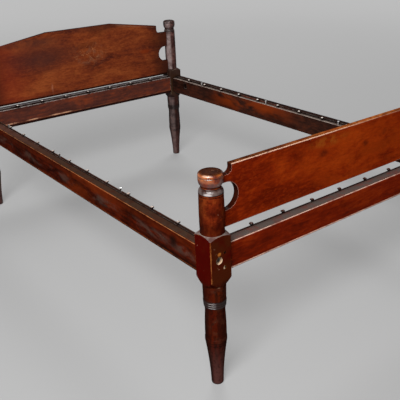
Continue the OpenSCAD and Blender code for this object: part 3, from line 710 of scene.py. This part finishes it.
class Post(Wood):
    """A turned post's wood. Its methods lay one part each, and are called from the first to the last.

    The highlight strength is how strongly the painted highlights on the crown's front, the ring crests and
    the shoulder are laid.
    """

    def __init__(self, name, height, palette, highlight_strength, seed):
        super().__init__(name, "Z", palette, shares=(0.55, 0.07, 0.38), stretch=1.5, seed=seed)
        self.height = height
        self.dark = palette.dark
        self.highlight_strength = highlight_strength
        self.soft = self.noise(self.moved, SOFT_SCALE, 4, 0.6)
        self.specks = self.noise(self.moved, SPECK_SCALE, 3, 0.6)
        self.block = self.between(self.z, BLOCK_BOTTOM - 0.02, BLOCK_TOP + 0.008, 0.004)
        self.leg = self.flip(self.remap(self.z, BLOCK_BOTTOM - 0.02, BLOCK_BOTTOM))

    def lay_shaft(self):
        """Mottling and specks, over painted shade on the side towards the bed's middle."""
        self.stains(shade(self.dark, 0.5), 0.7, 0.50, 0.66)
        # Painted shade: the side towards the bed's middle laid darker.
        shaded_inner_side = self.remap(self.minus(self.size(self.x), POST_X), 0.004, -0.026)
        self.lay(self.times(shaded_inner_side, self.patchy(0.36, 0.60, 0.5)), shade(self.dark, 0.45), 0.8)
        self.lay(self.remap(self.mottle, 0.49, 0.60), shade(self.dark, 0.5), 0.5)
        self.lay(self.remap(self.specks, 0.54, 0.66), shade(self.dark, 0.4), 0.6)
        low_shaft = self.between(self.z, BLOCK_TOP + 0.006, BLOCK_TOP + 0.05, 0.02)
        self.lay(low_shaft, shade(self.dark, 0.4), 0.6)

    def lay_block(self, colour, reflected_end_colour):
        """The dark block, with clouds of a browner colour, a painted reflection, on the faces that look along
        the bed.
        """
        self.lay(self.block, colour, 0.92)
        # Painted reflection: browner clouds on the faces that look along the bed.
        on_end = self.remap(self.size(self.ny), 0.6, 0.9)
        self.lay(self.times(self.block, on_end, self.remap(self.soft, 0.36, 0.60)), reflected_end_colour, 0.8)
        self.lay(self.times(self.block, self.flip(on_end), self.remap(self.mottle, 0.45, 0.62)),
                 shade(colour, 1.3), 0.5)

    def lay_leg(self):
        """The leg under the block: darker and streaked, and dusty near the floor."""
        streaks = self.noise(self.grain, STREAK_SCALE, 4, 0.65)
        self.lay(self.leg, shade(self.dark, 0.60), 0.78)
        self.lay(self.times(self.leg, self.remap(streaks, 0.48, 0.60)), BLACK_BROWN, 0.6)
        self.lay(self.times(self.leg, self.remap(self.mottle, 0.50, 0.64)), LEG_BROWN, 0.45)
        self.lay(self.flip(self.remap(self.z, 0.02, 0.20)), FOOT_DUST, 0.7)

    def lay_sides(self, wear_and_sheen):
        """Painted shade on the side that looks outward and headward, specks on the leg, and painted sheen on
        the inner front side.
        """
        turned = self.flip(self.block)
        # Painted shade: the side that looks outward and headward laid dark.
        shaded_side = self.remap(self.leaning(*OUTER_BACK), 0.25, 0.90)
        self.lay(self.times(shaded_side, turned, self.remap(self.z, 0.20, 0.40, 1.0, 0.65)), BLACK_BROWN, 0.8)
        self.lay(self.times(self.leg, self.remap(self.specks, 0.52, 0.62)), BLACK_BROWN, 0.5)
        # Painted sheen: a paler band on the side that looks inward and towards the foot.
        sheen_side = self.remap(self.leaning(*INNER_FRONT), 0.80, 0.98)
        self.lay(self.times(sheen_side, turned, self.patchy(0.36, 0.60, 0.4)), wear_and_sheen,
                 self.remap(self.leg, 0.0, 1.0, 0.5, 0.15))

    def lay_crown(self, colour):
        """The finial's crown, blotched and dark on top, with a painted highlight on its front, and pale
        specks all over.
        """
        crown = self.remap(self.z, self.height - 0.034, self.height - CROWN_LINE)
        blotches = self.remap(self.noise(self.moved, BLOTCH_SCALE, 4, 0.65), 0.40, 0.58)
        self.lay(self.times(crown, blotches), colour, 0.85)
        self.lay(self.times(self.remap(self.nz, 0.45, 0.98), crown), CROWN_TOP, 0.95)
        # Painted highlight: a pale patch where the crown faces up and out towards the front.
        crown_highlight_mask = self.remap(self.leaning(*CROWN_FRONT), 0.90, 0.99)
        self.lay(self.times(crown_highlight_mask, crown, self.patchy(0.34, 0.54, 0.5)), CROWN_HIGHLIGHT, 0.7 * self.highlight_strength)
        pale_specks = self.times(self.remap(self.mottle, 0.60, 0.66), self.remap(self.specks, 0.60, 0.66))
        self.lay(pale_specks, PALE_SPECK, 0.6)

    def lay_turnings(self):
        """Dark scored lines, paler ring crests, and painted highlights on the crests and the shoulder; gives
        the mask of the polished turnings.
        """
        height = self.height
        # Painted highlights on the side that looks outward and towards the foot.
        highlight_side = self.times(self.remap(self.leaning(*OUTER_FRONT), 0.90, 0.995), self.highlight_strength)
        rings = self.between(self.z, RINGS_LOW, RINGS_HIGH, 0.001)
        self.lay(rings, RING_DARK, 0.85)
        for z in RING_CRESTS:
            crest = self.stripe(self.z, z, 0.0004, 0.0010)
            self.lay(self.times(crest, self.patchy(0.38, 0.58, 0.2)), RING_CREST, 0.5)
            self.lay(self.times(crest, highlight_side), CREST_HIGHLIGHT, 0.6)
        shoulder = self.between(self.z, height - SHOULDER_LOW, height - SHOULDER_HIGH, 0.002)
        self.lay(shoulder, SHOULDER_DARK, 0.85)
        self.lay(self.times(shoulder, self.remap(self.mottle, 0.46, 0.60)), SHOULDER_MOTTLE, 0.7)
        self.lay(self.times(shoulder, highlight_side, self.patchy(0.34, 0.56, 0.5)), SHOULDER_HIGHLIGHT, 0.8)
        for z in (height - CROWN_LINE, *[height - line for line in NECK_LINES], *SWELL_LINES):
            self.lay(self.stripe(self.z, z, 0.0007, 0.0008), BLACK_BROWN, 0.85)
        crown = self.times(self.remap(self.z, height - 0.045, height - 0.040),
                           self.flip(self.remap(self.nz, 0.75, 0.97)))
        worn_through = self.remap(self.mottle, 0.42, 0.56, 0.45, 1.0)
        return self.either(self.times(shoulder, 0.55), self.times(rings, 0.25),
                           self.times(crown, worn_through))

    def lay_corners(self, worn, dust_and_reflection):
        """Wear on the block's arrises, most of all on its outer corner, and dust with a painted reflection on
        its curved top.
        """
        outward = self.plus(self.size(self.x), self.size(self.y))
        corner = POST_X + POST_Y + 2 * HALF_BLOCK
        outer_corner = self.remap(outward, corner - 0.0023, corner - 0.0011)
        edges = self.remap(self.edges, 0.45, 0.95)
        self.lay(self.times(edges, self.block, self.patchy(0.44, 0.58, 0.0)), worn, 0.5)
        broken = self.remap(self.specks, 0.40, 0.52, 0.1, 1.0)
        self.lay(self.times(outer_corner, self.block, broken), OUTER_CORNER)
        # Dust and a painted reflection on the curved top of the block.
        curved_top = self.times(self.between(self.nz, 0.12, 0.90, 0.05),
                                self.between(self.z, BLOCK_TOP - 0.025, BLOCK_TOP + 0.012, 0.002))
        self.lay(self.times(curved_top, self.patchy(0.34, 0.56, 0.35)), dust_and_reflection, 0.85)

    def lay_bored_end(self):
        """Bare wood and a rubbed mark at the sunk bolt, and the chipped edge of the lower drawbore pin."""
        hole_floor = POST_Y + HALF_BLOCK - BOLT_HOLE_DEPTH
        end_face = self.remap(self.size(self.y), hole_floor - 0.0015, hole_floor - 0.0005)
        bore = self.radius_xz(abs(BOLT.x), BOLT.z)
        in_bore = self.flip(self.remap(bore, BOLT_HOLE_RADIUS + 0.0002, BOLT_HOLE_RADIUS + 0.0006))
        wall = self.times(in_bore, end_face)
        self.lay(wall, BARE_WOOD, self.remap(self.mottle, 0.30, 0.55, 0.55, 1.0))
        mark = self.radius_xz(abs(BOLT.x) - 0.001, BOLT.z + 0.021)
        mark = self.times(self.flip(self.remap(mark, 0.003, 0.0085)), end_face)
        self.lay(mark, BOLT_MARK, self.remap(self.mottle, 0.38, 0.58, 0.35, 0.9))
        low_pin = self.radius_xz(PIN_X, PIN_LOW.z + PIN_RADIUS)
        chipped = self.flip(self.remap(low_pin, PIN_RADIUS + 0.0007, PIN_RADIUS + 0.0021))
        chipped = self.times(chipped, end_face)
        outer_half = self.remap(self.minus(self.size(self.x), PIN_X), -0.001, 0.001)
        self.lay(self.times(chipped, outer_half), BARE_WOOD, 0.9)


def post_wood(end, palette, block, block_end_reflection, crown, dust_and_reflection, worn, wear_and_sheen, highlight_strength, sheen, polish, seed):
    """The wood of both posts at one end. Sheen is the coat all over, and polish is that of the turnings."""
    height = top_of(f"{end}_post_left")
    wood = Post(f"{end}_post_varnish", height, palette, highlight_strength, seed)
    wood.lay_shaft()
    wood.lay_block(block, block_end_reflection)
    wood.lay_leg()
    wood.lay_sides(wear_and_sheen)
    wood.lay_crown(crown)
    polished = wood.lay_turnings()
    # Painted shade with grime in the corners and grooves.
    wood.grime_and_shade(0.85, distance=0.014)
    wood.lay_corners(worn, dust_and_reflection)
    wood.lay_bored_end()
    coat = wood.remap(polished, 0.0, 1.0, sheen, polish)
    pitted_finial = wood.remap(wood.z, height - 0.070, height - 0.066)
    return wood.varnished(roughness=0.42, coat=coat, coat_roughness=0.30, pitting=pitted_finial,
                          coat_ior=POLISH_IOR)


paint(["foot_post_left", "foot_post_right"],
      post_wood("foot", FOOT_POST, block=(0.048, 0.0010, 0.0004), block_end_reflection=(0.048, 0.010, 0.0025),
                crown=(0.42, 0.100, 0.010), dust_and_reflection=(0.20, 0.175, 0.160), worn=ORANGE_WORN,
                wear_and_sheen=(0.185, 0.024, 0.004), highlight_strength=1.0, sheen=0.012, polish=1.0, seed=2.1))
paint(["head_post_left", "head_post_right"],
      post_wood("head", HEAD_POST, block=(0.030, 0.013, 0.008), block_end_reflection=(0.048, 0.022, 0.010),
                crown=(0.030, 0.017, 0.014), dust_and_reflection=(0.12, 0.09, 0.075), worn=(0.42, 0.34, 0.25),
                wear_and_sheen=(0.52, 0.40, 0.38), highlight_strength=0.15, sheen=0.12, polish=0.30, seed=7.3))

# ---- Pegs and pins -----------------------------------------------------------


def peg_wood(name, tip_highlight):
    """A rope peg: almost black, with a painted highlight on its tip."""
    wood = Wood(name, "Z", PEG)
    # Painted highlight on the up-facing tip.
    wood.lay(wood.times(wood.remap(wood.nz, 0.66, 0.86), wood.patchy(0.3, 0.5, 0.7)), tip_highlight, 0.95)
    # Painted shade with grime in the corners and grooves.
    wood.grime_and_shade(0.8, distance=0.006)
    return wood.varnished(roughness=0.3, coat=0.5, coat_roughness=0.12)


def pin_wood():
    """A drawbore pin: a dark end, with bare wood on the outer half of the lower ones."""
    wood = Wood("pin_wood", "Y", DRAWBORE_PIN)
    low_pin_top = PIN_LOW.z + 2 * PIN_RADIUS
    low = wood.flip(wood.remap(wood.z, low_pin_top + 0.001, low_pin_top + 0.003))
    outer_half = wood.remap(wood.minus(wood.size(wood.x), PIN_X), -0.0005, 0.0015)
    wood.lay(wood.times(low, outer_half), BARE_WOOD, 0.85)
    return wood.varnished(roughness=0.5, coat=0.0)


for rail_name, highlight_colour in PEG_TIP_HIGHLIGHTS.items():
    paint([f"{rail_name}_pegs"], peg_wood(f"{rail_name}_peg_wood", highlight_colour))
paint([f"rail_pins_{corner}" for corner in CORNERS], pin_wood())

# ---- Metal -------------------------------------------------------------------

IRON = (0.018, 0.016, 0.015)
RUST = (0.055, 0.025, 0.014)
STEEL = (0.86, 0.86, 0.85)
RUST_SCALE = 90.0
FORGED_SCALE = 300.0
TURNING_SCALE = (60.0, 60.0, 2500.0)


def iron():
    """Forged iron, dark and dull, with a little rust."""
    g = Graph("forged_iron")
    rust = g.remap(g.noise(g.place, RUST_SCALE, 4, 0.6), 0.5, 0.7)
    colour = g.mix(rust, IRON, RUST)
    relief = g.bump(g.noise(g.place, FORGED_SCALE, 3), 0.0004, 0.5)
    return g.finish(base_color=colour, metallic=0.6, normal=relief,
                    roughness=g.remap(rust, 0.0, 1.0, 0.42, 0.75))


def steel():
    """Bright steel with fine turning marks."""
    g = Graph("bright_steel")
    marks = g.noise(g.vector("MULTIPLY", g.place, TURNING_SCALE), 1.0, 3)
    return g.finish(base_color=STEEL, metallic=1.0, normal=g.bump(marks, 0.0001, 0.4),
                    roughness=g.remap(marks, 0.3, 0.7, 0.18, 0.38))


paint([f"{piece}_{corner}" for piece in ("bed_bolt", "bolt_nut") for corner in CORNERS], iron())
paint(["slat_pins_left", "slat_pins_right"], steel())

# ---- Floor -------------------------------------------------------------------

FLOOR_GREY = (0.20, 0.20, 0.20)
NEAR_GLOW = 0.23
FAR_GLOW = 0.48


def bowl_mesh():
    """A flat disc whose border curves up to the height of the backdrop."""
    rings, segments, flat, reach, rise = 14, 96, 7.0, 5.0, 6.0
    points = [(0.0, 0.0, 0.0)]
    faces = []
    for i in range(rings + 1):
        t = i / rings * math.pi / 2
        radius = flat + reach * math.sin(t)
        height = rise * (1 - math.cos(t))
        for k in range(segments):
            a = 2 * math.pi * k / segments
            points.append((radius * math.cos(a), radius * math.sin(a), height))
    for k in range(segments):
        following = (k + 1) % segments
        faces.append((0, 1 + k, 1 + following))
        for i in range(rings):
            a = 1 + i * segments
            faces.append((a + k, a + segments + k, a + segments + following, a + following))
    mesh = bpy.data.meshes.new("studio_floor")
    mesh.from_pydata(points, [], faces)
    for polygon in mesh.polygons:
        polygon.use_smooth = True
    return mesh


def studio_floor():
    """A wide pale floor that curves up into a backdrop all round, far from the bed.

    What the camera, gloss and transmission see of it glows a little, more so further away.
    """
    mesh = bowl_mesh()
    floor = bpy.data.objects.new("studio_floor", mesh)
    bpy.context.scene.collection.objects.link(floor)
    g = Graph("studio_floor_paint")
    glow = g.remap(g.vector("LENGTH", g.place), 1.5, 9.0, NEAR_GLOW, FAR_GLOW)
    path = g.add("ShaderNodeLightPath")
    seen = g.plus(path.outputs["Is Camera Ray"], path.outputs["Is Glossy Ray"])
    seen = g.math("ADD", seen, path.outputs["Is Transmission Ray"], clamp=True)
    g.put(g.times(seen, glow), g.shader.inputs["Emission Strength"])
    mesh.materials.append(g.finish(base_color=FLOOR_GREY, roughness=0.85, specular_ior_level=0.1))


studio_floor()

# ---- Camera ------------------------------------------------------------------

# Fitted to the photograph: place, direction, roll, lens and middle, for an image of 400 by 400.
CAMERA_AT = Vector((-1.5960, -2.2740, 1.3966))
CAMERA_YAW = math.radians(38.142)
CAMERA_PITCH = math.radians(24.143)
CAMERA_ROLL = math.radians(-1.709)
FOCAL_PIXELS = 634.8
IMAGE_PIXELS = 400
MIDDLE_PIXEL = 220
SENSOR_WIDTH = 36.0
FAR_CLIP = 60


def photo_camera():
    """The camera at the photograph's viewing angle."""
    ahead = Vector((math.sin(CAMERA_YAW) * math.cos(CAMERA_PITCH),
                    math.cos(CAMERA_YAW) * math.cos(CAMERA_PITCH), -math.sin(CAMERA_PITCH)))
    level = Vector((math.cos(CAMERA_YAW), -math.sin(CAMERA_YAW), 0))
    above = level.cross(ahead)
    right = math.cos(CAMERA_ROLL) * level + math.sin(CAMERA_ROLL) * above
    up = math.cos(CAMERA_ROLL) * above - math.sin(CAMERA_ROLL) * level
    data = bpy.data.cameras.new("photo_camera")
    data.sensor_width = SENSOR_WIDTH
    data.lens = FOCAL_PIXELS / IMAGE_PIXELS * data.sensor_width
    data.shift_x = (IMAGE_PIXELS / 2 - MIDDLE_PIXEL) / IMAGE_PIXELS
    data.clip_end = FAR_CLIP
    camera = bpy.data.objects.new("photo_camera", data)
    bpy.context.scene.collection.objects.link(camera)
    camera.matrix_world = Matrix.Translation(CAMERA_AT) @ Matrix((right, up, -ahead)).transposed().to_4x4()
    bpy.context.scene.camera = camera


photo_camera()

# ---- Light -------------------------------------------------------------------

WORLD_STRENGTH = 0.03
LAMP_AIM = (0, 0, 0.5)

# Each lamp's name, place, width and height, and radiance.
LAMPS = (("left", (-3.3, -2.7, 3.9), (2.3, 1.5), 29),
         ("front", (-3.0, -3.9, 2.8), (2.4, 1.5), 7),
         ("back", (2.3, 2.8, 4.5), (2.4, 1.6), 13))


def soft_lamp(name, at, size, radiance):
    """A rectangular lamp that faces the bed, which no camera sees directly."""
    data = bpy.data.lights.new(name, "AREA")
    data.shape = "RECTANGLE"
    data.size, data.size_y = size
    data.energy = radiance * math.pi * size[0] * size[1]
    lamp = bpy.data.objects.new(name, data)
    bpy.context.scene.collection.objects.link(lamp)
    lamp.location = at
    lamp.rotation_euler = (Vector(LAMP_AIM) - Vector(at)).to_track_quat("-Z", "Y").to_euler()
    lamp.visible_camera = False


def studio_world():
    """A faint white light from all round."""
    world = bpy.data.worlds.new("studio")
    world.use_nodes = True
    background = world.node_tree.nodes["Background"]
    background.inputs["Color"].default_value = (1, 1, 1, 1)
    background.inputs["Strength"].default_value = WORLD_STRENGTH
    bpy.context.scene.world = world


studio_world()
for lamp_row in LAMPS:
    soft_lamp(*lamp_row)
bpy.context.scene.view_settings.view_transform = "Standard"
